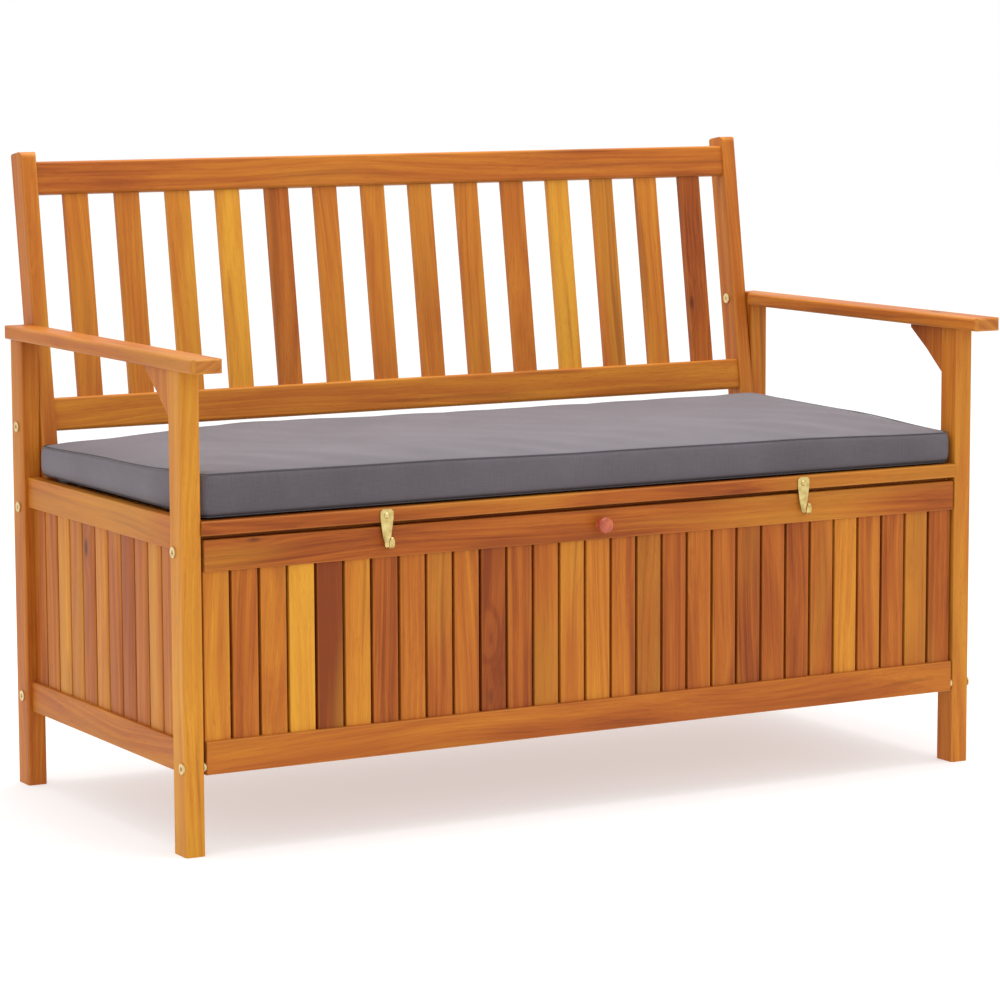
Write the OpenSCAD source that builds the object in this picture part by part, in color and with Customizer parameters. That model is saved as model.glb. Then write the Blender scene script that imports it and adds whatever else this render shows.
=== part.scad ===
// Slatted hardwood storage bench for two: four legs, slatted sides, rear and floor,
// a drop-front door held by two brass catches, a leaning slatted back and a loose cushion.
// +Z is up, +X is to the right seen from the front, and the front faces -Y.
// The origin is at the bottom centre of the whole bench.

/* [Overall] */
// Width over the two armrests
bench_w = 1182; // [1102:10:1302]
// Depth over the front and rear legs
frame_d = 532; // [500:2:560]
// Height of the underside of the armrests, which is the top of the legs
arm_z = 591; // [570:1:620]
// Height of the tips of the back posts
bench_h = 834; // [800:1:870]

/* [Legs and armrests] */
// Width of a leg, side to side
leg_w = 26; // [24:1:30]
// Depth of a leg, front to rear
leg_d = 36; // [32:1:42]
// Radius of the legs' long edges
leg_r = 3.5; // [3:0.5:8]
// Width of an armrest
arm_w = 41; // [36:1:48]
// How far an armrest stands in past its leg
arm_in = 8; // [0:1:10]
// Thickness of an armrest
arm_t = 18; // [16:1:22]
// Overhang of the armrests in front of the legs
arm_front = 53; // [40:1:64]
// Overhang of the armrests behind the legs
arm_rear = 6; // [2:1:24]
// Radius of the armrests' corners seen from above
arm_corner = 8; // [6:1:18]
// Reach of a corner bracket along the armrest
gusset_l = 74; // [60:1:84]
// Height of a corner bracket down the leg
gusset_h = 60; // [50:1:70]

/* [Box] */
// Height of the underside of the lower rails
rail_z = 99; // [90:1:110]
// Height of the wide face of the rails
rail_h = 40; // [36:1:44]
// Thickness of the rails
rail_t = 18; // [16:1:18]
// Height of the top of the seat boards
seat_z = 409; // [400:1:420]
// Thickness of the seat boards
seat_t = 18; // [16:1:20]
// How far the seat's front board stands out past the legs
seat_proud = 2.5; // [2:0.5:4]
// Thickness of the slats
slat_t = 10; // [8:1:12]
// Number of slats in each side panel
side_slats = 11; // [9:1:11]
// Number of slats in the door and in the rear panel
door_slats = 29; // [25:1:31]
// Number of seat boards behind the front board
seat_boards = 6; // [5:1:7]
// Number of floor boards
floor_boards = 6; // [5:1:7]

/* [Door] */
// Thickness of the door's rails
door_t = 16; // [14:1:16]
// Height of the top edge of the door
door_top = 386; // [380:1:387]
// Gap between the door and each front leg
door_gap = 3.5; // [3:0.5:5]
// Height of the hinge bolts
pivot_z = 109; // [107:0.5:112]
// Distance of the hinge bolts behind the door's front face
pivot_y = 7.5; // [7:0.5:9]
// Diameter of the round knob
knob_d = 21; // [16:1:26]
// Distance of each catch from the middle of the bench
catch_x = 309; // [200:1:400]

/* [Back] */
// Lean of the back from upright, in degrees
lean = 8.5; // [5:0.5:10]
// Width of a back post, side to side
post_w = 22; // [18:1:24]
// Depth of a back post, front to rear
post_d = 38; // [34:1:42]
// Height of the rails of the back
back_rail_h = 43.5; // [38:0.5:46]
// Number of slats in the back
back_slats = 14; // [12:1:14]
// Width of a back slat
back_slat_w = 34.5; // [30:0.5:38]
// Distance between neighbouring back slats, centre to centre
back_pitch = 73.9; // [72:0.1:76]

/* [Cushion] */
// Thickness of the cushion
cushion_t = 56; // [40:1:64]
// Gap between the cushion and each front leg
cushion_gap = 8.5; // [8.5:0.5:12]

/* [Hidden] */
$fn = 32;

GOLD = [0.80, 0.56, 0.22];
AMBER = [0.74, 0.44, 0.18];
RED = [0.62, 0.32, 0.14];
BRASS = [0.78, 0.66, 0.38];

// Places are worked out from the front face of the front legs, y = 0, and then shifted
// by y_mid so that the origin is under the middle of the whole bench.
leg_in = bench_w / 2 - arm_w + arm_in;
leg_out = leg_in + leg_w;
rear_y = frame_d - leg_d;
rail_top = seat_z + 2;
upper_z = rail_top - rail_h;
lower_top = rail_z + rail_h;
rail_out = leg_out - 7;
rail_in = rail_out - rail_t;
rail_r = 2.5;
slat_r = 2;
side_slat_x = rail_out - 6 - slat_t / 2;
side_slat_gap = 3.7;
side_slat_w = 37;
rear_rail_y = rear_y + 7;
seat_under = seat_z - seat_t;
beam_z = seat_under - rail_h;
beam_mid = beam_z + rail_h / 2;
bearer_w = 16;
bearer_h = 20;
front_rail_y = door_t + 0.8;
floor_rail_y = 22;
floor_rail_h = 26;
floor_z = rail_z + floor_rail_h;
board_gap = 9;
seat_board_d = 70;
seat_back_y = 478;

// Door
door_x = leg_in - door_gap;
door_slat_gap = 3.8;
door_pitch = (2 * door_x + door_slat_gap) / door_slats;
door_low_rail = 41;
door_slat_y = 5 + slat_t / 2;
pivot_d = 6;
pivot_depth = 30;
running_fit = 0.06;

// Back
post_s0 = 500;
post_y0 = 495;
post_r = 9;
post_s = (bench_h - post_s0 + post_r * sin(lean) - post_r) / cos(lean) + post_r;
post_down = 120;
back_rail_n = 5;
top_rail_s = post_s - 13 - back_rail_h;
low_rail_s = -29;
y_max = post_y0 + (post_s - post_r) * sin(lean) + (post_d - post_r) * cos(lean) + post_r;
y_mid = (y_max - arm_front) / 2;

// Bolts and catches
head_d = 14;
head_t = 2;
shank_d = 6;
hex_d = 6;
front_bolt_y = 24;
rear_bolt_y = rear_rail_y + rail_t / 2;
post_bolt_z = 477;
arm_bolt_z = arm_z + arm_t / 2;
catch_z = 399.5;
catch_gap = 0.3;
catch_t = 1.4;
catch_w = 18;
catch_tip = 11;
catch_down = 33;
hook_r = 7.5;
hook_w = 7;
ball_d = 6;
screw_d = 4;

function back_slat_name(i) = str("back_slat_", i < 10 ? "0" : "", i);
function post_front_y(z) = post_y0 + (z - post_s0) * tan(lean);

// Shapes shared by several pieces

// A rectangle with round corners, centred on the origin
module round_rect(a, b, r) {
  square([a - 2 * r, b], center = true);
  square([a, b - 2 * r], center = true);
  for (x = [-1, 1], y = [-1, 1])
    translate([x * (a / 2 - r), y * (b / 2 - r)]) circle(r);
}

// A stick along X from x0 to x1, with its section a deep along Y and b high along Z
module stick_x(x0, x1, y0, a, z0, b, r) {
  translate([x0, y0 + a / 2, z0 + b / 2]) rotate([90, 0, 90])
    linear_extrude(x1 - x0) round_rect(a, b, r);
}

// A stick along Y from y0 to y1
module stick_y(y0, y1, x0, a, z0, b, r) {
  translate([x0 + a / 2, y1, z0 + b / 2]) rotate([90, 0, 0])
    linear_extrude(y1 - y0) round_rect(a, b, r);
}

// A stick along Z from z0 to z1, centred on x and y
module stick_z(z0, z1, x, a, y, b, r) {
  translate([x, y, z0]) linear_extrude(z1 - z0) round_rect(a, b, r);
}

// A flat plate with round corners and round edges, standing on z = 0
module soft_plate(w, l, t, corner, edge) {
  intersection() {
    linear_extrude(t) round_rect(w, l, corner);
    stick_x(-w, w, -l / 2, l, 0, t, edge);
    stick_y(-l, l, -w / 2, w, 0, t, edge);
  }
}

// Moves children from the post's own frame (y behind its front face, z along it)
// to the bench, leaning back
module on_back() {
  translate([0, post_y0, post_s0]) rotate([-lean, 0, 0]) children();
}

// A bolt along X: its head stands out of the face at x = 0 and its shank runs to x = -l
module bolt(l) {
  difference() {
    rotate([0, 90, 0]) cylinder(d = head_d, h = head_t);
    translate([0.7, 0, 0]) rotate([0, 90, 0]) cylinder(d = hex_d, h = head_t, $fn = 6);
  }
  translate([-l, 0, 0]) rotate([0, 90, 0]) cylinder(d = shank_d, h = l);
}

// The hole that such a bolt needs
module bolt_hole(l) {
  translate([-l - 1, 0, 0]) rotate([0, 90, 0]) cylinder(d = shank_d + 0.1, h = l + 2);
}

// Places children at the three bolts of a rear leg, given the right side's x
module rear_bolt_places() {
  for (z = [post_bolt_z, beam_mid, rail_z + rail_h / 2])
    translate([leg_out, rear_bolt_y, z]) children();
}

// Pieces for the right side (x > 0); the left ones are their mirror images

module leg_front() {
  color(GOLD) difference() {
    stick_z(0, arm_z, leg_out - leg_w / 2, leg_w, leg_d / 2, leg_d, leg_r);
    translate([leg_out, front_bolt_y, beam_mid]) bolt_hole(leg_w);
    translate([leg_out, pivot_y, pivot_z]) bolt_hole(leg_w);
  }
}

module leg_rear() {
  color(GOLD) difference() {
    stick_z(0, arm_z, leg_out - leg_w / 2, leg_w, frame_d - leg_d / 2, leg_d, leg_r);
    rear_bolt_places() bolt_hole(leg_w);
  }
}

module armrest() {
  l = arm_front + frame_d + arm_rear;
  color(AMBER) difference() {
    translate([bench_w / 2 - arm_w / 2, l / 2 - arm_front, arm_z])
      soft_plate(arm_w, l, arm_t, arm_corner, 4);
    translate([leg_in - arm_w, rear_y, arm_z - 1]) cube([arm_w, leg_d + arm_rear + 1, arm_t + 2]);
    translate([leg_in + 20, arm_bolt_y(), arm_bolt_z]) bolt_hole(22);
  }
}

function arm_bolt_y() = post_front_y(arm_bolt_z) + post_d / 2;

// Corner bracket with a sloping edge between the armrest and the front leg
module gusset() {
  top_y = leg_d + gusset_l;
  foot_z = arm_z - gusset_h;
  color(RED) translate([leg_out - leg_w / 2 - 9, 0, 0]) rotate([90, 0, 90])
    linear_extrude(18)
      polygon([[leg_d, arm_z], [top_y, arm_z], [top_y, arm_z - 5],
               [top_y - gusset_l * 0.5, foot_z + gusset_h * 0.47],
               [leg_d + 4, foot_z], [leg_d, foot_z]]);
}

module side_rail(z) {
  color(AMBER) stick_y(leg_d, rear_y, rail_in, rail_t, z, rail_h, rail_r);
}

module side_panel_slats() {
  pitch = side_slat_w + side_slat_gap;
  color(AMBER) for (i = [0:side_slats - 1])
    stick_z(lower_top, upper_z, side_slat_x, slat_t,
            rear_y - 0.5 - side_slat_w / 2 - i * pitch, side_slat_w, slat_r);
}

module back_post() {
  color(GOLD) difference() {
    intersection() {
      on_back() intersection() {
        translate([leg_in - post_w / 2, post_d / 2, -post_down])
          linear_extrude(post_s + post_down) round_rect(post_w, post_d, 4);
        translate([leg_in - post_w, 0, 0]) rotate([90, 0, 90]) linear_extrude(post_w) {
          translate([0, -post_down]) square([post_d, post_s + post_down - post_r]);
          translate([post_r, post_s - 2 * post_r]) square([post_d - 2 * post_r, 2 * post_r]);
          for (y = [post_r, post_d - post_r])
            translate([y, post_s - post_r]) circle(post_r);
        }
      }
      translate([0, 0, seat_under]) cube([bench_w, 2 * frame_d, bench_h]);
    }
    translate([leg_out, rear_bolt_y, post_bolt_z]) bolt_hole(leg_w + 14);
    translate([leg_in + 5, arm_bolt_y(), arm_bolt_z]) bolt_hole(post_w + 10);
  }
}

module catch() {
  y = -seat_proud - catch_gap - catch_t;
  low = catch_z - catch_down;
  color(BRASS) difference() {
    union() {
      translate([0, y + catch_t, 0]) rotate([90, 0, 0]) linear_extrude(catch_t) {
        polygon([[-catch_w / 2, catch_z + 5], [-catch_w / 2 + 3, catch_z + 8],
                 [catch_w / 2 - 3, catch_z + 8], [catch_w / 2, catch_z + 5],
                 [catch_w / 2, catch_z - 3], [catch_tip / 2, low + 6],
                 [hook_w / 2, low], [-hook_w / 2, low], [-catch_tip / 2, low + 6],
                 [-catch_w / 2, catch_z - 3]]);
      }
      difference() {
        translate([0, y + catch_t - hook_r, low]) rotate([0, 90, 0])
          cylinder(r = hook_r, h = hook_w, center = true);
        translate([0, y + catch_t - hook_r, low]) rotate([0, 90, 0])
          cylinder(r = hook_r - catch_t, h = hook_w + 2, center = true);
        translate([-hook_w, y - 3 * hook_r, low]) cube([2 * hook_w, 4 * hook_r, hook_r + 1]);
      }
      translate([-hook_w / 2, y + catch_t - 2 * hook_r, low]) cube([hook_w, catch_t, 4]);
      translate([0, y + 1.5 * catch_t - 2 * hook_r, low + 5]) sphere(d = ball_d);
    }
    translate([0, 5, catch_z]) rotate([90, 0, 0]) cylinder(d = screw_d + 0.1, h = 20);
  }
}

module catch_screw() {
  y = -seat_proud - catch_t - 2 * catch_gap;
  color(BRASS) {
    translate([0, y, catch_z]) rotate([90, 0, 0]) cylinder(d1 = 8, d2 = 5.5, h = 1.6);
    translate([0, 14 - seat_proud, catch_z]) rotate([90, 0, 0])
      cylinder(d = screw_d, h = 14 - seat_proud - y);
  }
}

module pivot_bolt() {
  color(BRASS) translate([leg_out, pivot_y, pivot_z]) bolt(leg_w + door_gap + pivot_depth - 4);
}

module pivot_spacer() {
  color(BRASS) translate([leg_in - door_gap + 0.4, pivot_y, pivot_z]) rotate([0, 90, 0])
    difference() {
      cylinder(d = 13, h = door_gap - 0.4);
      translate([0, 0, -1]) cylinder(d = shank_d + 0.1, h = door_gap + 2);
    }
}

module bolt_front() {
  color(BRASS) translate([leg_out, front_bolt_y, beam_mid]) bolt(leg_w + 30);
}

// The three bolts of a rear leg and the one from the back post into the armrest
module bolts_rear() {
  color(BRASS) {
    translate([leg_out, rear_bolt_y, post_bolt_z]) bolt(leg_w + 12);
    for (z = [beam_mid, rail_z + rail_h / 2])
      translate([leg_out, rear_bolt_y, z]) bolt(leg_w + 30);
    translate([leg_in - post_w, arm_bolt_y(), arm_bolt_z]) mirror([1, 0, 0]) bolt(post_w + 18);
  }
}

// Pieces on the middle of the bench

// A rail across the bench with a hole in each end for the leg bolts
module drilled_rail(y, t, z, h, bolt_y, bolt_z) {
  difference() {
    stick_x(-leg_in, leg_in, y, t, z, h, rail_r);
    for (s = [0, 1]) mirror([s, 0, 0])
      translate([leg_in, bolt_y, bolt_z]) bolt_hole(30);
  }
}

module rear_rail(z) {
  color(AMBER) drilled_rail(rear_rail_y, rail_t, z, rail_h, rear_bolt_y, z + rail_h / 2);
}

module rear_panel_slats() {
  color(AMBER) for (i = [0:door_slats - 1])
    stick_z(lower_top, beam_z, -door_x + door_pitch * (i + 0.5) - door_slat_gap / 2,
            door_pitch - door_slat_gap, rear_rail_y + rail_t / 2, slat_t, slat_r);
}

module front_rail_top() {
  color(AMBER) drilled_rail(front_rail_y, rail_t, beam_z, rail_h, front_bolt_y, beam_mid);
}

module front_rail_bottom() {
  color(AMBER) stick_x(-leg_in, leg_in, floor_rail_y, 14, rail_z, floor_rail_h, rail_r);
}

module seat_front_board() {
  color(AMBER) difference() {
    stick_x(-leg_in, leg_in, -seat_proud, seat_board_d, seat_under, seat_t, 3);
    for (s = [-1, 1]) translate([s * catch_x, 20 - seat_proud, catch_z]) rotate([90, 0, 0])
      cylinder(d = screw_d + 0.1, h = 30);
  }
}

module seat_rows() {
  y0 = seat_board_d - seat_proud + board_gap;
  pitch = (seat_back_y - y0 + board_gap) / seat_boards;
  color(AMBER) for (i = [0:seat_boards - 1])
    stick_x(-leg_in, leg_in, y0 + i * pitch, pitch - board_gap, seat_under, seat_t, 3);
}

// Bars from front to rear that carry boards: one inside each side panel and one in the middle
module bearers(z, y0, y1) {
  color(RED) {
    for (x = [-rail_in, rail_in - bearer_w])
      stick_y(leg_d, rear_y, x, bearer_w, z, bearer_h, 1.5);
    stick_y(y0, y1, -bearer_w / 2, bearer_w, z, bearer_h, 1.5);
  }
}

module floor_rows() {
  y0 = leg_d + 2;
  y1 = rear_rail_y - 3;
  pitch = (y1 - y0 + board_gap) / floor_boards;
  color(AMBER) for (i = [0:floor_boards - 1])
    stick_x(-leg_in, leg_in, y0 + i * pitch, pitch - board_gap, floor_z, slat_t, 2);
}

module back_rail(s) {
  color(AMBER) on_back()
    stick_x(-leg_in + post_w, leg_in - post_w, back_rail_n, rail_t, s, back_rail_h, 4);
}

module back_slat(i) {
  x = (i - (back_slats + 1) / 2) * back_pitch;
  color(i % 3 == 0 ? GOLD : i % 3 == 1 ? AMBER : RED) on_back()
    stick_z(low_rail_s + back_rail_h, top_rail_s, x, back_slat_w,
            back_rail_n + rail_t / 2, slat_t, slat_r);
}

module door_rail_top() {
  h = rail_h - 1;
  color(AMBER) difference() {
    stick_x(-door_x, door_x, 0, door_t, door_top - h, h, rail_r);
    translate([0, 10, door_top - h / 2]) rotate([90, 0, 0]) cylinder(d = 5.1, h = 20);
  }
}

module door_rail_bottom() {
  color(AMBER) difference() {
    stick_x(-door_x, door_x, 0, door_t, rail_z, door_low_rail, rail_r);
    for (s = [-1, 1]) translate([s * door_x, pivot_y, pivot_z]) rotate([0, 90, 0])
      cylinder(d = pivot_d + 2 * running_fit, h = 2 * pivot_depth, center = true);
  }
}

module door_panel_slats() {
  z0 = rail_z + door_low_rail;
  color(AMBER) for (i = [0:door_slats - 1])
    stick_z(z0, door_top - rail_h + 1, -door_x + door_pitch * (i + 0.5) - door_slat_gap / 2,
            door_pitch - door_slat_gap, door_slat_y, slat_t, slat_r);
}

// Round knob with a waisted neck, turned about Y
module door_knob() {
  z = door_top - (rail_h - 1) / 2;
  color([0.72, 0.36, 0.26]) translate([0, 0, z]) rotate([90, 0, 0]) {
    translate([0, 0, -9]) cylinder(d = 5, h = 10);
    cylinder(d1 = 14, d2 = 11, h = 4);
    translate([0, 0, 4]) cylinder(d1 = 11, d2 = knob_d - 4, h = 5);
    translate([0, 0, 9]) rotate_extrude($fn = 48) {
      square([knob_d / 2 - 4, 8]);
      translate([knob_d / 2 - 4, 4]) intersection() {
        circle(4);
        translate([0, -4]) square(8);
      }
    }
  }
}

module cushion() {
  y0 = 3;
  y1 = post_front_y(rail_top) - 1.5;
  color([0.48, 0.46, 0.49]) translate([0, (y0 + y1) / 2, seat_z])
    soft_plate(2 * (leg_in - cushion_gap), y1 - y0, cushion_t, 22, 9);
}

// Shifts a piece to the bench's own origin, on the right side or mirrored to the left
module right() {
  translate([0, -y_mid, 0]) children();
}

module left() {
  mirror([1, 0, 0]) right() children();
}

left() leg_front();  // leg_front_left
right() leg_front();  // leg_front_right
left() leg_rear();  // leg_rear_left
right() leg_rear();  // leg_rear_right
left() armrest();  // armrest_left
right() armrest();  // armrest_right
left() gusset();  // gusset_left
right() gusset();  // gusset_right
left() side_rail(upper_z);  // side_rail_top_left
right() side_rail(upper_z);  // side_rail_top_right
left() side_rail(rail_z);  // side_rail_bottom_left
right() side_rail(rail_z);  // side_rail_bottom_right
left() side_panel_slats();  // side_slats_left
right() side_panel_slats();  // side_slats_right
right() rear_rail(beam_z);  // rear_rail_top
right() rear_rail(rail_z);  // rear_rail_bottom
right() rear_panel_slats();  // rear_slats
right() front_rail_top();
right() front_rail_bottom();
right() seat_front_board();
right() seat_rows();  // seat_slats
right() bearers(seat_under - bearer_h, front_rail_y + rail_t, rear_rail_y);  // seat_bearers
right() floor_rows();  // floor_boards
right() bearers(floor_z - bearer_h, leg_d, rear_rail_y);  // floor_bearers
left() back_post();  // back_post_left
right() back_post();  // back_post_right
right() back_rail(top_rail_s);  // back_rail_top
right() back_rail(low_rail_s);  // back_rail_bottom
for (i = [1:back_slats])
  right() back_slat(i);
right() door_rail_top();
right() door_rail_bottom();
right() door_panel_slats();  // door_slats
right() door_knob();
right() translate([-catch_x, 0, 0]) catch();  // catch_left
right() translate([catch_x, 0, 0]) catch();  // catch_right
right() translate([-catch_x, 0, 0]) catch_screw();  // catch_screw_left
right() translate([catch_x, 0, 0]) catch_screw();  // catch_screw_right
left() bolt_front();  // bolt_front_left
right() bolt_front();  // bolt_front_right
left() bolts_rear();  // bolts_rear_left
right() bolts_rear();  // bolts_rear_right
left() pivot_bolt();  // pivot_bolt_left
right() pivot_bolt();  // pivot_bolt_right
left() pivot_spacer();  // pivot_spacer_left
right() pivot_spacer();  // pivot_spacer_right
right() cushion();
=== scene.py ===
# Oiled hardwood storage bench for two: slatted box with a drop-front door and brass
# catches, a leaning slatted back, armrests and a loose grey seat cushion.
import math
import random

import bmesh
import bpy
from mathutils import Matrix, Vector


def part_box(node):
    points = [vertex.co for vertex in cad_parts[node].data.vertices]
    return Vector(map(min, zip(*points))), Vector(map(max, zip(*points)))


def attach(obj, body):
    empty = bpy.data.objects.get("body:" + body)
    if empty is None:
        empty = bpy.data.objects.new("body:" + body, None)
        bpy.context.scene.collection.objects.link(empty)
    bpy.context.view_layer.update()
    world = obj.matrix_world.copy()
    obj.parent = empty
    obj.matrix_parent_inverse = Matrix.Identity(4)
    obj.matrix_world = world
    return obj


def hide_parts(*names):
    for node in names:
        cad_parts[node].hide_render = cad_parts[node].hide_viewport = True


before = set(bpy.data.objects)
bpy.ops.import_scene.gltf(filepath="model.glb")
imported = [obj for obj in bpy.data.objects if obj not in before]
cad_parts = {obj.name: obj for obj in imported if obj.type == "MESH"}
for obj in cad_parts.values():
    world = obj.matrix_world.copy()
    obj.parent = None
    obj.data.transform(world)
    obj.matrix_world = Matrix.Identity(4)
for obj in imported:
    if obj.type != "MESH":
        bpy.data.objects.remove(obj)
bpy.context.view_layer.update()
scene = bpy.context.scene
scene.view_settings.view_transform = "Standard"
MM = 0.001

# Spaces between slats and between boards, and the side slats' width and spacing
SLAT_GAP = 3.8 * MM
SLAT_THICK = 10 * MM
BOARD_GAP = 9 * MM
SIDE_SLAT_WIDTH = 37 * MM
SIDE_SLAT_PITCH = 40.7 * MM
LONG_ROW = 29
SIDE_ROW = 11
BOARD_ROW = 6

# The sewn cushion: round corners, round rims and the seams along the middle of each rim
CUSHION_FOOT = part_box("cushion")[0][2]
CORNER = 13 * MM
RIM = 11 * MM
SEAM_IN = RIM * (1 - math.cos(math.pi / 4))
FILL_REACH = 9 * MM
SIDE_SPREAD = 7.8 * MM
WAVE_HEIGHT = 0.28 * MM
PUSHED_OUT = 14 * MM
PUSHED_WIDTH = 0.07
ROLLED_UP = 6 * MM
# How far the rim rises, in millimetres, from left to right, at the front, middle and back
LIFTS = ((6, 4, 0, -2, -8), (1, 1, 1, 1, 1), (-5, 8, 5, 4, 4))


# ---------------------------------------------------------------- camera and studio

def make_camera():
    data = bpy.data.cameras.new("camera")
    data.sensor_width = 36.0
    data.lens = 131.65
    data.clip_end = 60.0
    camera = bpy.data.objects.new("camera", data)
    scene.collection.objects.link(camera)
    heading = Matrix.Rotation(math.radians(-29.559), 4, "Z")
    pitch = Matrix.Rotation(math.radians(90 - 7.414), 4, "X")
    roll = Matrix.Rotation(math.radians(-0.218), 4, "Z")
    camera.matrix_world = Matrix.Translation((-2.3865, -4.2132, 0.9983)) @ heading @ pitch @ roll
    scene.camera = camera


def softbox(name, place, aim, size, power):
    data = bpy.data.lights.new(name, "AREA")
    data.shape = "SQUARE"
    data.size = size
    data.energy = power
    lamp = bpy.data.objects.new(name, data)
    scene.collection.objects.link(lamp)
    lamp.location = place
    lamp.rotation_mode = "QUATERNION"
    lamp.rotation_quaternion = (Vector(aim) - Vector(place)).to_track_quat("-Z", "Y")


def make_studio():
    world = bpy.data.worlds.new("studio")
    world.use_nodes = True
    world.node_tree.nodes["Background"].inputs["Color"].default_value = (1, 1, 1, 1)
    world.node_tree.nodes["Background"].inputs["Strength"].default_value = 1.0
    scene.world = world
    softbox("overhead", (0.1, 0.1, 2.6), (0, 0, 0.3), 2.0, 46)
    softbox("front_key", (1.2, -3.2, 1.7), (0, 0, 0.35), 1.6, 5)
    mesh = bpy.data.meshes.new("floor")
    mesh.from_pydata([(-15, -15, 0), (15, -15, 0), (15, 15, 0), (-15, 15, 0)], [], [(0, 1, 2, 3)])
    floor = bpy.data.objects.new("floor", mesh)
    scene.collection.objects.link(floor)
    paper = bpy.data.materials.new("studio_paper")
    paper.use_nodes = True
    surface = paper.node_tree.nodes["Principled BSDF"]
    surface.inputs["Base Color"].default_value = (0.55, 0.55, 0.55, 1)
    surface.inputs["Roughness"].default_value = 0.9
    surface.inputs["Emission Color"].default_value = (1, 1, 1, 1)
    surface.inputs["Emission Strength"].default_value = 0.5
    mesh.materials.append(paper)


# ---------------------------------------------------------------- small helpers

def colour(red, green, blue):
    """A colour given as it looks on screen, 0 to 255, as the linear value a node takes."""
    def linear(value):
        value /= 255
        return value / 12.92 if value <= 0.04045 else ((value + 0.055) / 1.055) ** 2.4
    return (linear(red), linear(green), linear(blue), 1)


def add(tree, kind, inputs=None, **settings):
    """A node of that kind; an input is a value or another node's output socket."""
    node = tree.nodes.new(kind)
    for name, value in settings.items():
        setattr(node, name, value)
    for name, value in (inputs or {}).items():
        if isinstance(value, bpy.types.NodeSocket):
            tree.links.new(value, node.inputs[name])
        else:
            node.inputs[name].default_value = value
    return node


def calc(tree, operation, a, b=0.0, c=0.0):
    inputs = {0: a, 1: b}
    if operation == "MULTIPLY_ADD":
        inputs[2] = c
    return add(tree, "ShaderNodeMath", inputs, operation=operation).outputs[0]


def vector_calc(tree, operation, a, b):
    return add(tree, "ShaderNodeVectorMath", {0: a, 1: b}, operation=operation).outputs[0]


def fade(tree, value, low, high, start=0.0, end=1.0):
    """Goes smoothly from start to end while value goes from low to high."""
    node = add(tree, "ShaderNodeMapRange", {"Value": value, "From Min": low, "From Max": high,
                                            "To Min": start, "To Max": end})
    node.interpolation_type = "SMOOTHSTEP"
    return node.outputs[0]


def noise(tree, place, stretch, detail=2.0, roughness=0.5):
    """Noise with a feature size per axis, given as features per metre."""
    scaled = vector_calc(tree, "MULTIPLY", place, stretch)
    return add(tree, "ShaderNodeTexNoise", {"Vector": scaled, "Scale": 1.0, "Detail": detail,
                                            "Roughness": roughness})


def blend_colour(tree, factor, a, b):
    return add(tree, "ShaderNodeMix", {0: factor, 6: a, 7: b}, data_type="RGBA").outputs[2]


def ramp(tree, value, stops):
    node = add(tree, "ShaderNodeValToRGB", {0: value})
    band = node.color_ramp
    band.elements[0].position, band.elements[0].color = stops[0]
    band.elements[1].position, band.elements[1].color = stops[-1]
    for place, tint in stops[1:-1]:
        band.elements.new(place).color = tint
    return node.outputs[0]


# ---------------------------------------------------------------- oiled hardwood

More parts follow.
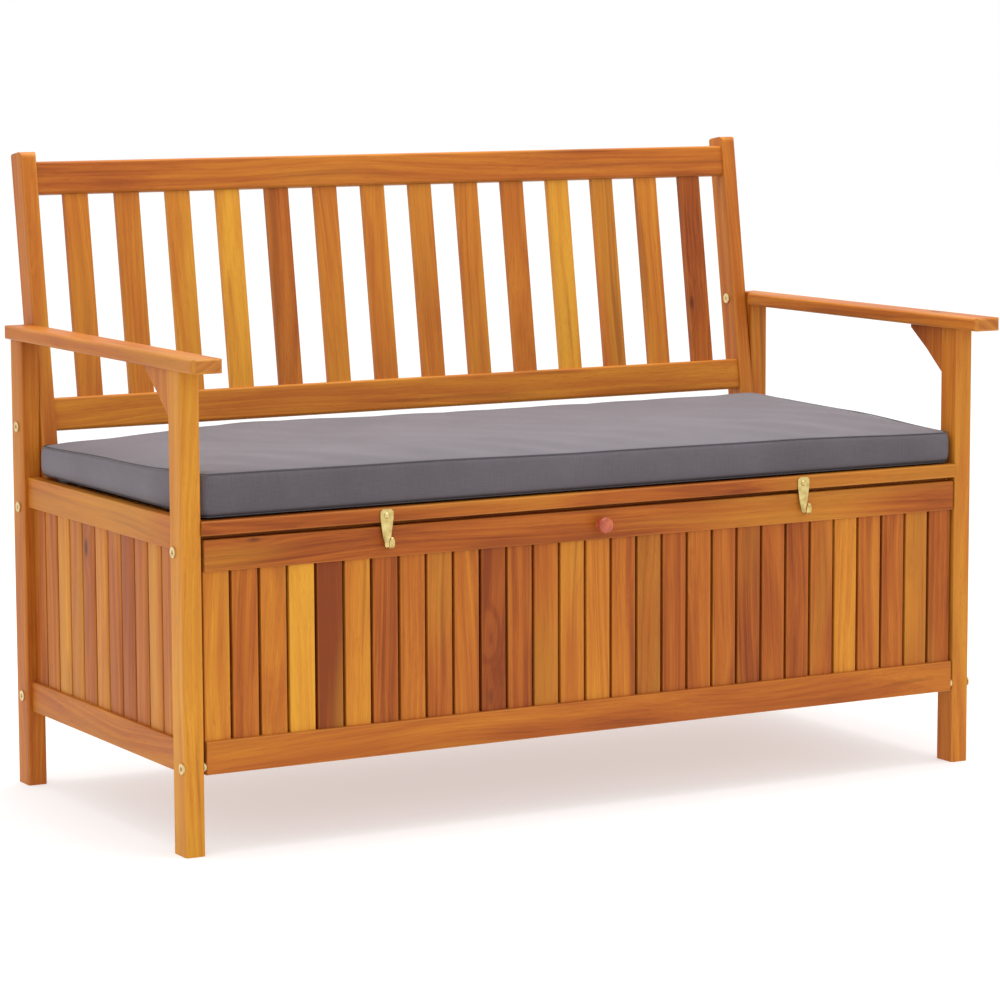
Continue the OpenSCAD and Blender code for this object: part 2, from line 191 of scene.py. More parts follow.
def make_hardwood():
    """The figure of oiled hardwood for a board whose grain runs along Z through the origin."""
    tree = bpy.data.node_groups.new("oiled_hardwood", "ShaderNodeTree")
    for name, kind in (("Place", "Vector"), ("Facing", "Vector"), ("Tone", "Float")):
        tree.interface.new_socket(name, in_out="INPUT", socket_type="NodeSocket" + kind)
    for name, kind in (("Colour", "Color"), ("Roughness", "Float"), ("Normal", "Vector")):
        tree.interface.new_socket(name, in_out="OUTPUT", socket_type="NodeSocket" + kind)
    given = add(tree, "NodeGroupInput").outputs
    place = given["Place"]

    # Knots, few and far between, with the grain bending round them
    cells = vector_calc(tree, "MULTIPLY", place, (24, 24, 9))
    knot = add(tree, "ShaderNodeTexVoronoi", {"Vector": cells, "Scale": 1.0, "Randomness": 0.8})
    chosen = add(tree, "ShaderNodeSeparateColor", {0: knot.outputs["Color"]}).outputs[0]
    has_knot = fade(tree, chosen, 0.86, 0.9)
    near = fade(tree, knot.outputs["Distance"], 0.5, 0.05)
    bend = calc(tree, "MULTIPLY", near, has_knot)
    core = calc(tree, "MULTIPLY", fade(tree, knot.outputs["Distance"], 0.15, 0.05), has_knot)

    # Growth rings round a pith that wanders beside the board
    slow = noise(tree, place, (5, 5, 2.0), 1.5).outputs["Color"]
    wander = vector_calc(tree, "SUBTRACT", slow, (0.5, 0.5, 0.5))
    wander = vector_calc(tree, "MULTIPLY", wander, (0.05, 0.05, 0))
    bent = vector_calc(tree, "ADD", place, wander)
    across = vector_calc(tree, "MULTIPLY", bent, (1, 1, 0))
    radius = add(tree, "ShaderNodeVectorMath", {0: across}, operation="LENGTH").outputs["Value"]
    radius = calc(tree, "MULTIPLY_ADD", bend, 0.011, radius)
    rings = add(tree, "ShaderNodeTexNoise", {"W": radius, "Scale": 120.0, "Detail": 2.5,
                                             "Roughness": 0.6}, noise_dimensions="1D")
    band = fade(tree, rings.outputs[0], 0.32, 0.68)

    # Streaks, fibres and patches of the oil
    streak = noise(tree, bent, (330, 330, 5), 3.0, 0.6).outputs[0]
    fibre = noise(tree, bent, (1500, 1500, 22), 2.0, 0.6).outputs[0]
    patch = noise(tree, bent, (26, 26, 3.2), 2.0).outputs[0]
    vein = noise(tree, bent, (75, 75, 1.6), 1.0).outputs[0]

    tone = calc(tree, "MULTIPLY_ADD", calc(tree, "SUBTRACT", band, 0.5), 0.16, given["Tone"])
    tone = calc(tree, "MULTIPLY_ADD", calc(tree, "SUBTRACT", streak, 0.5), 0.46, tone)
    tone = calc(tree, "MULTIPLY_ADD", calc(tree, "SUBTRACT", fibre, 0.5), 0.16, tone)
    tone = calc(tree, "MULTIPLY_ADD", calc(tree, "SUBTRACT", patch, 0.5), 0.8, tone)
    wood = ramp(tree, tone, [(0.0, colour(128, 58, 19)), (0.25, colour(163, 84, 27)),
                             (0.5, colour(184, 106, 33)), (0.75, colour(201, 129, 38)),
                             (1.0, colour(216, 152, 46))])
    gold = noise(tree, bent, (16, 16, 2.4), 1.0).outputs[0]
    wood = blend_colour(tree, fade(tree, gold, 0.5, 0.72, 0.0, 0.4), wood, colour(196, 138, 42))
    dark_vein = fade(tree, vein, 0.64, 0.78, 0.0, 0.42)
    wood = blend_colour(tree, dark_vein, wood, colour(116, 54, 20))
    pores = fade(tree, fibre, 0.42, 0.30, 0.0, 0.3)
    wood = blend_colour(tree, pores, wood, colour(104, 50, 24))
    wood = blend_colour(tree, calc(tree, "MULTIPLY", bend, 0.35), wood, colour(150, 76, 32))
    wood = blend_colour(tree, calc(tree, "MULTIPLY", core, 0.85), wood, colour(72, 34, 18))

    # End grain drinks more oil; rounded edges are painted a little lighter, a painted highlight with
    # a little wear
    facing = add(tree, "ShaderNodeSeparateXYZ", {0: given["Facing"]})
    size_x = calc(tree, "ABSOLUTE", facing.outputs[0])
    size_y = calc(tree, "ABSOLUTE", facing.outputs[1])
    size_z = calc(tree, "ABSOLUTE", facing.outputs[2])
    end = fade(tree, size_z, 0.7, 0.95)
    end_rings = fade(tree, rings.outputs[0], 0.35, 0.62, 0.35, 0.95)
    end_wood = blend_colour(tree, end_rings, colour(148, 82, 40), colour(188, 120, 54))
    wood = blend_colour(tree, calc(tree, "MULTIPLY", end, 0.75), wood, end_wood)
    flat = calc(tree, "MAXIMUM", calc(tree, "MAXIMUM", size_x, size_y), size_z)
    # Painted highlight on the rounded edges, patchy like wear
    edge_highlight_and_wear = fade(tree, flat, 0.985, 0.8, 0.0, 0.22)
    edge_highlight_and_wear = calc(tree, "MULTIPLY", edge_highlight_and_wear, fade(tree, patch, 0.3, 0.6, 0.5, 1.0))
    wood = blend_colour(tree, edge_highlight_and_wear, wood, colour(216, 160, 78))

    rough = calc(tree, "MULTIPLY_ADD", streak, 0.22, 0.34)
    rough = calc(tree, "MULTIPLY_ADD", end, 0.2, rough)
    height = calc(tree, "MULTIPLY_ADD", streak, 0.5, calc(tree, "MULTIPLY", fibre, 0.6))
    height = calc(tree, "MULTIPLY_ADD", core, -0.8, height)
    bump = add(tree, "ShaderNodeBump", {"Height": height, "Strength": 0.35, "Distance": 0.0004})
    add(tree, "NodeGroupOutput", {"Colour": wood, "Roughness": rough, "Normal": bump.outputs[0]})
    return tree


LEAN = math.radians(8.5)
TURN_TO_Z = {"z": (0, 0, 0), "x": (0, math.pi / 2, 0), "y": (math.pi / 2, 0, 0),
             "leaning": (LEAN, 0, 0), "x_leaning": (LEAN, math.pi / 2, 0)}


def board_finish(name, grain, tone=None, shift=None):
    """Oiled wood with its grain along one axis. Rows of boards bring their own tone and shift."""
    material = bpy.data.materials.new(name)
    material.use_nodes = True
    tree = material.node_tree
    shader = tree.nodes["Principled BSDF"]
    shader.inputs["IOR"].default_value = 1.46
    shader.inputs["Specular IOR Level"].default_value = 0.2
    where = add(tree, "ShaderNodeTexCoord")
    if tone is None:
        tone = add(tree, "ShaderNodeAttribute", attribute_name="tone").outputs["Fac"]
        shift = add(tree, "ShaderNodeAttribute", attribute_name="shift").outputs["Vector"]
    moved = vector_calc(tree, "ADD", where.outputs["Object"], shift)
    turn = TURN_TO_Z[grain]
    place = add(tree, "ShaderNodeMapping", {"Vector": moved, "Rotation": turn})
    facing = add(tree, "ShaderNodeMapping", {"Vector": where.outputs["Normal"], "Rotation": turn})
    wood = add(tree, "ShaderNodeGroup", {}, node_tree=HARDWOOD)
    tree.links.new(place.outputs[0], wood.inputs["Place"])
    tree.links.new(facing.outputs[0], wood.inputs["Facing"])
    if isinstance(tone, bpy.types.NodeSocket):
        tree.links.new(tone, wood.inputs["Tone"])
    else:
        wood.inputs["Tone"].default_value = tone
    tree.links.new(wood.outputs["Colour"], shader.inputs["Base Color"])
    tree.links.new(wood.outputs["Roughness"], shader.inputs["Roughness"])
    tree.links.new(wood.outputs["Normal"], shader.inputs["Normal"])
    return material


def paint(node, material):
    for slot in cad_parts[node].material_slots:
        slot.material = material


def finish_boards():
    chance = random.Random(41)
    boards = {
        "leg_front_left": ("z", 0.78), "leg_front_right": ("z", 0.52),
        "leg_rear_left": ("z", 0.5), "leg_rear_right": ("z", 0.48),
        "armrest_left": ("y", 0.48), "armrest_right": ("y", 0.46),
        "gusset_left": ("z", 0.5), "gusset_right": ("z", 0.28),
        "side_rail_top_left": ("y", 0.44), "side_rail_top_right": ("y", 0.42),
        "side_rail_bottom_left": ("y", 0.4), "side_rail_bottom_right": ("y", 0.42),
        "rear_rail_top": ("x", 0.45), "rear_rail_bottom": ("x", 0.55),
        "front_rail_top": ("x", 0.4), "front_rail_bottom": ("x", 0.4),
        "seat_front_board": ("x", 0.22), "seat_bearers": ("y", 0.35),
        "floor_bearers": ("y", 0.35), "door_rail_top": ("x", 0.22),
        "door_rail_bottom": ("x", 0.35), "back_post_left": ("leaning", 0.52),
        "back_post_right": ("leaning", 0.44), "back_rail_top": ("x_leaning", 0.38),
        "back_rail_bottom": ("x_leaning", 0.54),
    }
    tones = (0.5, 0.45, 0.7, 0.85, 0.3, 0.6, 0.6, 0.5, 0.55, 0.45, 0.88, 0.35, 0.65, 0.15)
    for number, tone in enumerate(tones, 1):
        boards[f"back_slat_{number:02d}"] = ("leaning", tone)
    for node, (grain, tone) in boards.items():
        low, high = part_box(node)
        middle = (Vector(low) + Vector(high)) / 2
        shift = board_shift(chance, grain, middle)
        paint(node, board_finish("wood_" + node, grain, tone, shift))


def board_shift(chance, grain, middle):
    """Moves a board's middle beside the pith of its tree, along the two axes across its grain."""
    angle = chance.uniform(0, 2 * math.pi)
    reach = chance.uniform(0.05, 0.15)
    side = (math.cos(angle) * reach, math.sin(angle) * reach)
    along = chance.uniform(-0.5, 0.5)
    order = {"z": (0, 1, 2), "x": (1, 2, 0), "y": (0, 2, 1)}
    first, second, length = order[{"leaning": "z", "x_leaning": "x"}.get(grain, grain)]
    shift = -Vector(middle)
    shift[first] += side[0]
    shift[second] += side[1]
    shift[length] += along
    return shift


# ---------------------------------------------------------------- rows of boards

def new_tree(name, inputs):
    """An empty tree of geometry nodes with named inputs, and its input and output nodes."""
    tree = bpy.data.node_groups.new(name, "GeometryNodeTree")
    tree.interface.new_socket("Geometry", in_out="INPUT", socket_type="NodeSocketGeometry")
    for label, kind in inputs:
        tree.interface.new_socket(label, in_out="INPUT", socket_type="NodeSocket" + kind)
    tree.interface.new_socket("Geometry", in_out="OUTPUT", socket_type="NodeSocketGeometry")
    return tree, add(tree, "NodeGroupInput").outputs


def close_tree(tree, instances, material):
    """Ends a tree in real geometry with its material."""
    real = add(tree, "GeometryNodeRealizeInstances", {"Geometry": instances})
    done = add(tree, "GeometryNodeSetMaterial", {"Geometry": real.outputs[0], "Material": material})
    add(tree, "NodeGroupOutput", {"Geometry": done.outputs[0]})


def grow(holder, tree, values):
    """Runs the tree on the holder with those inputs and keeps the result as its plain mesh."""
    modifier = holder.modifiers.new(tree.name, "NODES")
    modifier.node_group = tree
    for item in tree.interface.items_tree:
        if item.in_out == "INPUT" and item.name in values:
            modifier[item.identifier] = values[item.name]
    holder.update_tag()
    graph = bpy.context.evaluated_depsgraph_get()
    mesh = bpy.data.meshes.new_from_object(holder.evaluated_get(graph), depsgraph=graph,
                                           preserve_all_data_layers=True)
    holder.modifiers.clear()
    holder.data = mesh
    mesh.name = holder.name


def make_board_tree():
    """A board with rounded long edges on every point, carrying the point's tone and shift."""
    tree, given = new_tree("row_of_boards", [
        ("Section X", "Float"), ("Section Y", "Float"), ("Length", "Float"),
        ("Edge Radius", "Float"), ("Turn", "Vector"), ("Material", "Material")])
    section = add(tree, "GeometryNodeCurvePrimitiveQuadrilateral",
                  {"Width": given["Section X"], "Height": given["Section Y"]})
    rounded = add(tree, "GeometryNodeFilletCurve", {"Curve": section.outputs[0], "Count": 4,
                                                    "Radius": given["Edge Radius"]}, mode="POLY")
    half = calc(tree, "MULTIPLY", given["Length"], 0.5)
    top = add(tree, "ShaderNodeCombineXYZ", {"Z": half})
    foot = add(tree, "ShaderNodeCombineXYZ", {"Z": calc(tree, "MULTIPLY", half, -1.0)})
    path = add(tree, "GeometryNodeCurvePrimitiveLine", {"Start": foot.outputs[0],
                                                        "End": top.outputs[0]})
    board = add(tree, "GeometryNodeCurveToMesh", {"Curve": path.outputs[0], "Fill Caps": True,
                                                  "Profile Curve": rounded.outputs[0]})
    turn = add(tree, "FunctionNodeEulerToRotation", {0: given["Turn"]})
    row = add(tree, "GeometryNodeInstanceOnPoints", {
        "Points": given["Geometry"], "Instance": board.outputs[0], "Rotation": turn.outputs[0]})
    close_tree(tree, row.outputs[0], given["Material"])
    return tree


def row_of_boards(name, body, grain, section, length, radius, places, tones, seed):
    """Boards at those places; the row takes the place of the CAD node of the same name."""
    chance = random.Random(seed)
    mesh = bpy.data.meshes.new(name)
    mesh.from_pydata([tuple(place) for place in places], [], [])
    tone = mesh.attributes.new("tone", "FLOAT", "POINT")
    tone.data.foreach_set("value", [t + chance.uniform(-0.04, 0.04) for t in tones])
    shift = mesh.attributes.new("shift", "FLOAT_VECTOR", "POINT")
    for entry, place in zip(shift.data, places):
        entry.vector = board_shift(chance, grain, place)
    holder = bpy.data.objects.new(name + "_boards", mesh)
    scene.collection.objects.link(holder)
    turn = {"z": (0, 0, 0), "x": (0, math.pi / 2, 0)}[grain]
    grow(holder, BOARD_TREE, {
        "Section X": section[0], "Section Y": section[1], "Length": length,
        "Edge Radius": radius, "Turn": turn, "Material": ROW_FINISH[grain]})
    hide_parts(name)
    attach(holder, body)


def upright_row(name, body, count, width, pitch, start, axis, tones, seed):
    """Slats standing side by side along X or Y from start, as high as the CAD row."""
    low, high = (Vector(corner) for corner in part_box(name))
    middle = (low + high) / 2
    places = []
    for number in range(count):
        place = middle.copy()
        place[axis] = start + pitch * number
        places.append(place)
    section = (width, SLAT_THICK) if axis == 0 else (SLAT_THICK, width)
    row_of_boards(name, body, "z", section, high.z - low.z, 2 * MM, places, tones, seed)


def finish_rows():
    door_tones = (0.6, 0.35, 0.4, 0.95, 0.1, 0.6, 0.3, 0.5, 0.3, 0.42, 0.15, 0.3, 0.4, 0.5,
                  0.56, 0.42, 0.2, 0.26, 0.35, 0.4, 0.22, 0.38, 0.18, 0.4, 0.68, 0.4, 0.3,
                  0.32, 0.18)
    side_tones = (0.3, 0.42, 0.62, 0.46, 0.32, 0.66, 0.44, 0.3, 0.36, 0.56, 0.46)
    chance = random.Random(7)
    other_tones = [chance.uniform(0.15, 0.75) for number in range(LONG_ROW)]
    for name, body, tones, seed in (("door_slats", "door", door_tones, 11),
                                    ("rear_slats", "bench", other_tones, 12)):
        low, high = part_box(name)
        pitch = (high[0] - low[0] + SLAT_GAP) / LONG_ROW
        width = pitch - SLAT_GAP
        upright_row(name, body, LONG_ROW, width, pitch, low[0] + width / 2, 0, tones, seed)
    for name, seed in (("side_slats_left", 13), ("side_slats_right", 14)):
        low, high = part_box(name)
        upright_row(name, "bench", SIDE_ROW, SIDE_SLAT_WIDTH, -SIDE_SLAT_PITCH,
                    high[1] - SIDE_SLAT_WIDTH / 2, 1, side_tones, seed)
    for name, radius, seed in (("seat_slats", 3 * MM, 15), ("floor_boards", 2 * MM, 16)):
        low, high = (Vector(corner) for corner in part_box(name))
        pitch = (high.y - low.y + BOARD_GAP) / BOARD_ROW
        depth = pitch - BOARD_GAP
        places = [((low.x + high.x) / 2, low.y + depth / 2 + pitch * number, (low.z + high.z) / 2)
                  for number in range(BOARD_ROW)]
        tones = [chance.uniform(0.25, 0.7) for number in range(BOARD_ROW)]
        row_of_boards(name, "bench", "x", (high.z - low.z, depth), high.x - low.x, radius,
                      places, tones, seed)


# ---------------------------------------------------------------- cushion

def make_fabric():
    """Grey woven polyester: crossed threads with slubs, faint mottling and a soft sheen, with painted
    shade on the front and back panels and a painted contact shadow along the lower rim.
    """
    material = bpy.data.materials.new("cushion_cloth")
    material.use_nodes = True
    tree = material.node_tree
    shader = tree.nodes["Principled BSDF"]
    shader.inputs["Sheen Weight"].default_value = 0.08
    shader.inputs["Sheen Roughness"].default_value = 0.5
    shader.inputs["Specular IOR Level"].default_value = 0.25
    where = add(tree, "ShaderNodeTexCoord")
    place = add(tree, "ShaderNodeSeparateXYZ", {0: where.outputs["Object"]}).outputs
    facing = add(tree, "ShaderNodeSeparateXYZ", {0: where.outputs["Normal"]}).outputs
    on_side = calc(tree, "GREATER_THAN", calc(tree, "ABSOLUTE", facing[0]), 0.7)
    on_top = calc(tree, "GREATER_THAN", calc(tree, "ABSOLUTE", facing[2]), 0.7)
    warp = add(tree, "ShaderNodeMix", {0: on_side, 2: place[0], 3: place[1]}).outputs[0]
    weft = add(tree, "ShaderNodeMix", {0: on_top, 2: place[2], 3: place[1]}).outputs[0]
    per_thread = math.pi / (0.8 * MM)
    wave_a = calc(tree, "SINE", calc(tree, "MULTIPLY", warp, per_thread))
    wave_b = calc(tree, "SINE", calc(tree, "MULTIPLY", weft, per_thread))
    weave = calc(tree, "MULTIPLY_ADD", calc(tree, "MULTIPLY", wave_a, wave_b), 0.5, 0.5)
    flat = add(tree, "ShaderNodeCombineXYZ", {0: warp, 1: weft}).outputs[0]
    slub_a = noise(tree, flat, (1250, 45, 0), 1.0).outputs[0]
    slub_b = noise(tree, flat, (45, 1250, 0), 1.0).outputs[0]
    slubs = calc(tree, "MULTIPLY", calc(tree, "ADD", slub_a, slub_b), 0.5)
    soft = noise(tree, where.outputs["Object"], (9, 9, 9), 2.0).outputs[0]
    tone = calc(tree, "MULTIPLY_ADD", calc(tree, "SUBTRACT", slubs, 0.5), 0.6, 0.5)
    tone = calc(tree, "MULTIPLY_ADD", calc(tree, "SUBTRACT", weave, 0.5), 0.16, tone)
    tone = calc(tree, "MULTIPLY_ADD", calc(tree, "SUBTRACT", soft, 0.5), 0.35, tone)
    # Painted shade: the front and back panels, facing along Y, are painted darker than the top and
    # the ends
    tone = calc(tree, "MULTIPLY_ADD", calc(tree, "ABSOLUTE", facing[1]), -0.36, tone)
    cloth = ramp(tree, tone, [(0.0, colour(84, 78, 83)), (0.5, colour(112, 106, 111)),
                              (1.0, colour(134, 127, 133))])
    # Painted contact shadow: a dark band along the lower rim, which also stands for a dark underside
    # cloth
    underside_cloth_and_painted_shadow = fade(tree, place[2], CUSHION_FOOT + 4 * MM, CUSHION_FOOT + 9 * MM, 0.9, 0.0)
    cloth = blend_colour(tree, underside_cloth_and_painted_shadow, cloth, colour(42, 38, 41))
    tree.links.new(cloth, shader.inputs["Base Color"])
    tree.links.new(fade(tree, slubs, 0.3, 0.7, 0.82, 0.94), shader.inputs["Roughness"])
    height = calc(tree, "MULTIPLY_ADD", slubs, 0.7, weave)
    bump = add(tree, "ShaderNodeBump", {"Height": height, "Strength": 0.3, "Distance": 0.0003})
    tree.links.new(bump.outputs[0], shader.inputs["Normal"])
    return material


def make_cord():
    """Dark thread twisted into the cord of the seams."""
    material = bpy.data.materials.new("cushion_cord")
    material.use_nodes = True
    tree = material.node_tree
    shader = tree.nodes["Principled BSDF"]
    shader.inputs["Roughness"].default_value = 0.9
    where = add(tree, "ShaderNodeTexCoord").outputs["Object"]
    place = add(tree, "ShaderNodeSeparateXYZ", {0: where}).outputs
    twist = calc(tree, "ADD", calc(tree, "ADD", place[0], place[1]), place[2])
    ply = calc(tree, "SINE", calc(tree, "MULTIPLY", twist, 2 * math.pi / (1.4 * MM)))
    strand = ramp(tree, calc(tree, "MULTIPLY_ADD", ply, 0.5, 0.5),
                  [(0.0, colour(62, 58, 62)), (1.0, colour(92, 86, 91))])
    tree.links.new(strand, shader.inputs["Base Color"])
    bump = add(tree, "ShaderNodeBump", {"Height": ply, "Strength": 0.3, "Distance": 0.0002})
    tree.links.new(bump.outputs[0], shader.inputs["Normal"])
    return material


def settle(place, low, high):
    """Where a point of the filled cushion ends up in use: its rim rises and sags, and its left
    side is pushed out over the side rail with its lower edge rolled under."""
    across = min(max((place.x - low.x) / (high.x - low.x), 0), 1) * 4
    back = min(max((place.y - low.y) / (high.y - low.y), 0), 1) * 2
    column, row = min(int(across), 3), min(int(back), 1)
    ease = [part * part * (3 - 2 * part) for part in (across - column, back - row)]
    near, far = (line[column] + (line[column + 1] - line[column]) * ease[0]
                 for line in LIFTS[row:row + 2])
    height = min(max((place.z - low.z) / (high.z - low.z), 0), 1)
    lift = (near + (far - near) * ease[1]) * height
    side = min(max((low.x + PUSHED_WIDTH - place.x) / PUSHED_WIDTH, 0), 1) ** 2
    along = min(max((place.y - low.y - 0.04) / 0.09, 0), 1)
    pushed = side * along * along * (3 - 2 * along)
    return Vector((place.x - PUSHED_OUT * pushed, place.y,
                   place.z + lift * MM + ROLLED_UP * pushed * (1 - height)))


def cushion_blank(low, high):
    """A slab with round corners and rims, as even quads, from which the cushion is blown up."""
    shape = bmesh.new()
    bmesh.ops.create_cube(shape, size=1.0)
    bmesh.ops.scale(shape, vec=high - low, verts=shape.verts)
    bmesh.ops.translate(shape, vec=(low + high) / 2, verts=shape.verts)
    upright = [e for e in shape.edges if abs(e.verts[0].co.z - e.verts[1].co.z) > 0.01]
    bmesh.ops.bevel(shape, geom=upright, offset=CORNER, segments=8, affect="EDGES", profile=0.5)
    rims = [e for e in shape.edges if abs(e.verts[0].co.z - e.verts[1].co.z) < 1e-6]
    bmesh.ops.bevel(shape, geom=rims, offset=RIM, segments=4, affect="EDGES", profile=0.5)
    mesh = bpy.data.meshes.new("seat_cushion")
    shape.to_mesh(mesh)
    shape.free()
    blank = bpy.data.objects.new("seat_cushion", mesh)
    scene.collection.objects.link(blank)
    remesh = blank.modifiers.new("even_quads", "REMESH")
    remesh.mode = "VOXEL"
    remesh.voxel_size = 6 * MM
    keep_evaluated(blank)
    return blank


def keep_evaluated(piece):
    graph = bpy.context.evaluated_depsgraph_get()
    mesh = bpy.data.meshes.new_from_object(piece.evaluated_get(graph), depsgraph=graph)
    piece.modifiers.clear()
    piece.data = mesh


def blow_up(cushion, low, high):
    """Fills the sewn cover: the two seams hold still while the panels between them swell."""
    seams = (low.z + SEAM_IN, high.z - SEAM_IN)
    held = cushion.vertex_groups.new(name="seams")
    for vertex in cushion.data.vertices:
        x, y, z = vertex.co
        outer = min(x - low.x, high.x - x, y - low.y, high.y - y)
        if outer < 7 * MM and min(abs(z - seam) for seam in seams) < 3.4 * MM:
            held.add([vertex.index], 1.0, "REPLACE")
    cloth = cushion.modifiers.new("filling", "CLOTH")
    cloth.settings.quality = 5
    cloth.settings.use_pressure = True
    cloth.settings.uniform_pressure_force = 4.0
    cloth.settings.tension_stiffness = 12
    cloth.settings.compression_stiffness = 12
    cloth.settings.bending_stiffness = 1.5
    cloth.settings.vertex_group_mass = held.name
    cloth.settings.effector_weights.gravity = 0.0
    cloth.collision_settings.use_collision = False
    cloth.point_cache.frame_start = 1
    cloth.point_cache.frame_end = 20
    for step in range(1, 21):
        scene.frame_set(step)
    keep_evaluated(cushion)
    cushion.vertex_groups.clear()
    scene.frame_set(1)


def make_cushion():
    """The sewn cushion: filled, a little wavy, kept between the legs and settled by use."""
    cad_lo, cad_hi = (Vector(corner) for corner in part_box("cushion"))
    low = cad_lo + Vector((-7, 1, 0)) * MM
    high = cad_hi - Vector((-7, 1, 3)) * MM
    cushion = cushion_blank(low, high)
    start = [vertex.co.copy() for vertex in cushion.data.vertices]
    blow_up(cushion, low, high)
    waves = random.Random(5)
    ripple = [(waves.uniform(5, 13), waves.uniform(5, 13), waves.uniform(0, 6.3)) for k in range(5)]
    for vertex, was in zip(cushion.data.vertices, start):
        move = vertex.co - was
        if move.length > FILL_REACH:
            vertex.co = was + move * (FILL_REACH / move.length)
        inner = min(vertex.co.x - low.x, high.x - vertex.co.x,
                    vertex.co.y - low.y, high.y - vertex.co.y)
        if vertex.co.z > low.z + 0.03:
            sway = sum(math.sin(2 * math.pi * (a * vertex.co.x + b * vertex.co.y) + c)
                       for a, b, c in ripple)
            vertex.co.z += WAVE_HEIGHT * sway * min(1.0, max(0.0, inner) / 0.03)
        vertex.co.x = min(max(vertex.co.x, cad_lo.x - SIDE_SPREAD), cad_hi.x + SIDE_SPREAD)
        vertex.co.y = min(max(vertex.co.y, cad_lo.y - 2 * MM), cad_hi.y)
        vertex.co.z = max(vertex.co.z, low.z)
        vertex.co = settle(vertex.co, low, high)
    for face in cushion.data.polygons:
        face.use_smooth = True
    smooth = cushion.modifiers.new("smooth", "SUBSURF")
    smooth.levels = 1
    smooth.render_levels = 1
    cushion.data.materials.append(FABRIC)
    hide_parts("cushion")
    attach(cushion, "cushion")
    make_piping(low, high)


def seam_round(low, high, height):
    """The points of one seam: a rectangle with round corners that has settled with the cushion."""
    radius = CORNER - SEAM_IN
    inner = [(high.x - CORNER, high.y - CORNER, 0), (low.x + CORNER, high.y - CORNER, 90),
             (low.x + CORNER, low.y + CORNER, 180), (high.x - CORNER, low.y + CORNER, 270)]
    bends = []
    for x, y, start in inner:
        for step in range(7):
            angle = math.radians(start + 15 * step)
            bends.append(Vector((x + radius * math.cos(angle), y + radius * math.sin(angle), height)))
    places = []
    for here, there in zip(bends, bends[1:] + bends[:1]):
        steps = max(1, round((there - here).length / 0.008))
        places += [here.lerp(there, step / steps) for step in range(steps)]
    return [settle(place, low, high) for place in places]


def make_piping(low, high):
    """Two rounds of fine cord, one along each seam of the cushion."""
    tree, given = new_tree("cord_round_cushion", [("Cord Radius", "Float"),
                                                  ("Material", "Material")])
    line = add(tree, "GeometryNodeMeshToCurve", {"Mesh": given["Geometry"]})
    section = add(tree, "GeometryNodeCurvePrimitiveCircle", {"Resolution": 8,
                                                             "Radius": given["Cord Radius"]})
    cord = add(tree, "GeometryNodeCurveToMesh", {"Curve": line.outputs[0],
                                                 "Profile Curve": section.outputs[0]})
    close_tree(tree, cord.outputs[0], given["Material"])
    places, edges = [], []
    for height in (high.z - SEAM_IN, low.z + SEAM_IN):
        first = len(places)
        places += seam_round(low, high, height)
        count = len(places) - first
        edges += [(first + k, first + (k + 1) % count) for k in range(count)]
    mesh = bpy.data.meshes.new("cushion_piping")
    mesh.from_pydata(places, edges, [])
    piping = bpy.data.objects.new("cushion_piping", mesh)
    scene.collection.objects.link(piping)
    grow(piping, tree, {"Cord Radius": 0.7 * MM, "Material": CORD})
    piping.data.shade_smooth()
    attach(piping, "cushion")


# ---------------------------------------------------------------- metal and the knob

def make_brass(name, light, dark, scale):
    """Drawn brass, dulled in patches, with fine scratches."""
    material = bpy.data.materials.new(name)
    material.use_nodes = True
    tree = material.node_tree
    shader = tree.nodes["Principled BSDF"]
    shader.inputs["Metallic"].default_value = 1.0
    where = add(tree, "ShaderNodeTexCoord").outputs["Object"]
    cloud = noise(tree, where, (scale, scale, scale), 3.0, 0.6).outputs[0]
    scratch = noise(tree, where, (4000, 4000, 160), 2.0).outputs[0]
    dull = calc(tree, "MULTIPLY_ADD", calc(tree, "SUBTRACT", scratch, 0.5), 0.5, cloud)
    tree.links.new(ramp(tree, dull, [(0.3, light), (0.7, dark)]), shader.inputs["Base Color"])
    tree.links.new(fade(tree, dull, 0.3, 0.7, 0.26, 0.5), shader.inputs["Roughness"])
    bump = add(tree, "ShaderNodeBump", {"Height": dull, "Strength": 0.2, "Distance": 0.0001})
    tree.links.new(bump.outputs[0], shader.inputs["Normal"])
    return material


def make_knob_finish():
    """Pinkish turned wood under lacquer, with fine streaks along the axis of the knob."""
    material = bpy.data.materials.new("knob_lacquered_wood")
    material.use_nodes = True
    tree = material.node_tree
    shader = tree.nodes["Principled BSDF"]
    shader.inputs["Coat Weight"].default_value = 0.15
    shader.inputs["Coat Roughness"].default_value = 0.22
    low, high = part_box("door_knob")
    where = add(tree, "ShaderNodeTexCoord").outputs["Object"]
    middle = [-(a + b) / 2 for a, b in zip(low, high)]
    place = vector_calc(tree, "ADD", where, middle)
    fibre = noise(tree, place, (1400, 60, 1400), 2.0).outputs[0]
    patch = noise(tree, place, (160, 40, 90), 2.0).outputs[0]
    tone = calc(tree, "MULTIPLY_ADD", calc(tree, "SUBTRACT", fibre, 0.5), 0.4, patch)
    wood = ramp(tree, tone, [(0.25, colour(150, 58, 34)), (0.55, colour(182, 84, 50)),
                             (0.8, colour(206, 110, 70))])
    tree.links.new(wood, shader.inputs["Base Color"])
    tree.links.new(fade(tree, fibre, 0.3, 0.7, 0.3, 0.42), shader.inputs["Roughness"])
    bump = add(tree, "ShaderNodeBump", {"Height": fibre, "Strength": 0.15, "Distance": 0.0002})
    tree.links.new(bump.outputs[0], shader.inputs["Normal"])
    return material


def finish_metal():
    catch_brass = make_brass("catch_brass", colour(222, 202, 138), colour(188, 164, 100), 120)
    bolt_brass = make_brass("bolt_brass", colour(232, 212, 162), colour(200, 172, 118), 160)
    for side in ("left", "right"):
        for node in ("catch_", "catch_screw_"):
            paint(node + side, catch_brass)
        for node in ("bolt_front_", "bolts_rear_", "pivot_bolt_", "pivot_spacer_"):
            paint(node + side, bolt_brass)
    paint("door_knob", make_knob_finish())


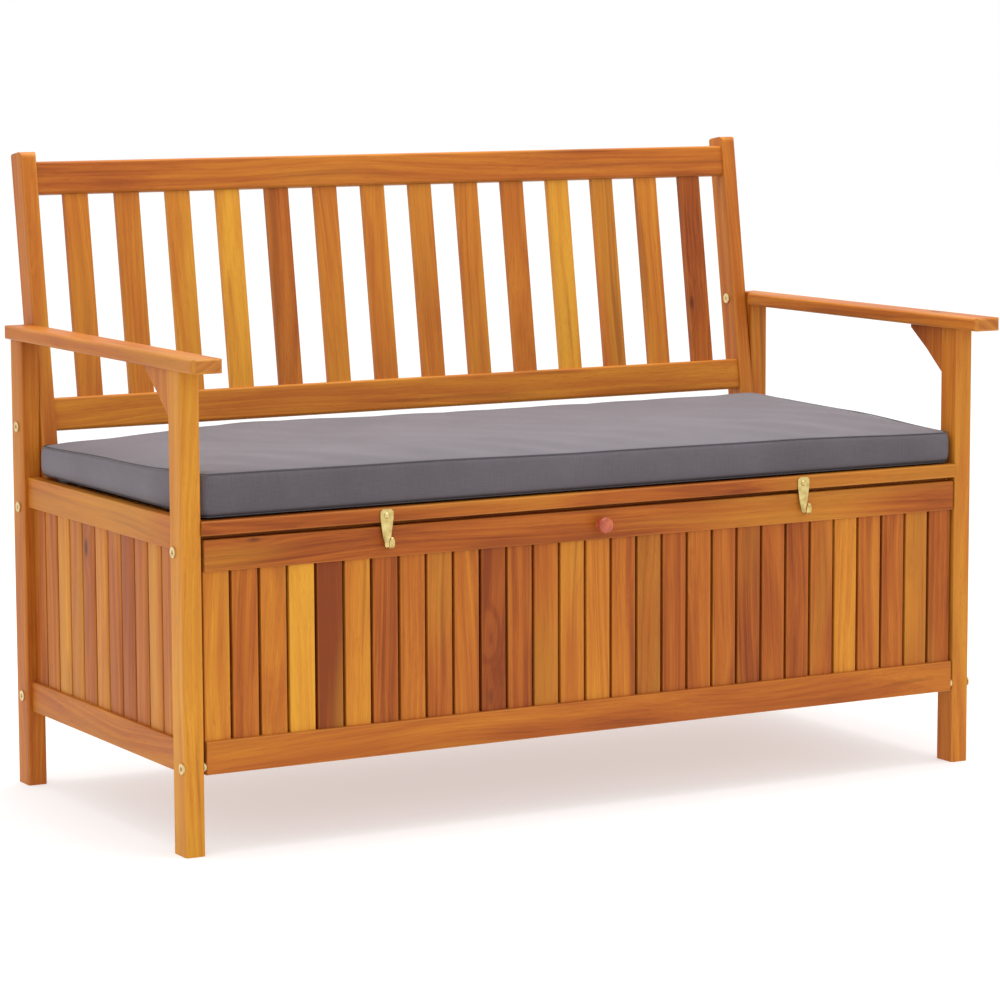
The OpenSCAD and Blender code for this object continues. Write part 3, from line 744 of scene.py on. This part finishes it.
def make_board_screws():
    """Countersunk cross-head screws that hold the seat and floor boards down to their bearers."""
    tree, given = new_tree("screws_on_boards", [
        ("Head Radius", "Float"), ("Head Height", "Float"), ("Slot Width", "Float"),
        ("Material", "Material")])
    head = add(tree, "GeometryNodeMeshCylinder", {"Vertices": 20, "Radius": given["Head Radius"],
                                                  "Depth": given["Head Height"]})
    reach = calc(tree, "MULTIPLY", given["Head Radius"], 1.3)
    arm_a = add(tree, "ShaderNodeCombineXYZ", {0: reach, 1: given["Slot Width"],
                                               2: given["Head Height"]})
    arm_b = add(tree, "ShaderNodeCombineXYZ", {0: given["Slot Width"], 1: reach,
                                               2: given["Head Height"]})
    sunk = add(tree, "ShaderNodeCombineXYZ", {2: calc(tree, "MULTIPLY", given["Head Height"], 0.5)})
    cuts = []
    for arm in (arm_a, arm_b):
        box = add(tree, "GeometryNodeMeshCube", {"Size": arm.outputs[0]})
        cuts.append(add(tree, "GeometryNodeTransform", {"Geometry": box.outputs[0],
                                                        "Translation": sunk.outputs[0]}))
    cross = add(tree, "GeometryNodeMeshBoolean", {0: head.outputs[0]}, operation="DIFFERENCE")
    for cut in cuts:
        tree.links.new(cut.outputs[0], cross.inputs[1])
    spin = add(tree, "FunctionNodeRandomValue", {"Min": (0, 0, 0), "Max": (0, 0, 3.1), "Seed": 3},
               data_type="FLOAT_VECTOR")
    turn = add(tree, "FunctionNodeEulerToRotation", {0: spin.outputs[0]})
    row = add(tree, "GeometryNodeInstanceOnPoints", {
        "Points": given["Geometry"], "Instance": cross.outputs[0], "Rotation": turn.outputs[0]})
    close_tree(tree, row.outputs[0], given["Material"])
    steel = make_brass("screw_steel", colour(196, 194, 188), colour(140, 138, 132), 500)
    seat_low, seat_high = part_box("seat_slats")
    floor_low, floor_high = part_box("floor_boards")
    places = []
    for low, high in ((seat_low, seat_high), (floor_low, floor_high)):
        pitch = (high[1] - low[1] + BOARD_GAP) / BOARD_ROW
        for number in range(BOARD_ROW):
            for x in (-0.55, 0, 0.55):
                for part in (0.27, 0.73):
                    y = low[1] + pitch * number + (pitch - BOARD_GAP) * part
                    places.append((x, y, high[2] - 0.45 * MM))
    mesh = bpy.data.meshes.new("board_screws")
    mesh.from_pydata(places, [], [])
    screws = bpy.data.objects.new("board_screws", mesh)
    scene.collection.objects.link(screws)
    grow(screws, tree, {"Head Radius": 3.6 * MM, "Head Height": 1.2 * MM, "Slot Width": 0.9 * MM,
                        "Material": steel})
    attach(screws, "bench")


# ---------------------------------------------------------------- the bench, put together

make_camera()
make_studio()
HARDWOOD = make_hardwood()
BOARD_TREE = make_board_tree()
ROW_FINISH = {"z": board_finish("wood_upright_slats", "z"),
              "x": board_finish("wood_cross_boards", "x")}
FABRIC = make_fabric()
CORD = make_cord()
finish_boards()
finish_rows()
finish_metal()
make_board_screws()
make_cushion()
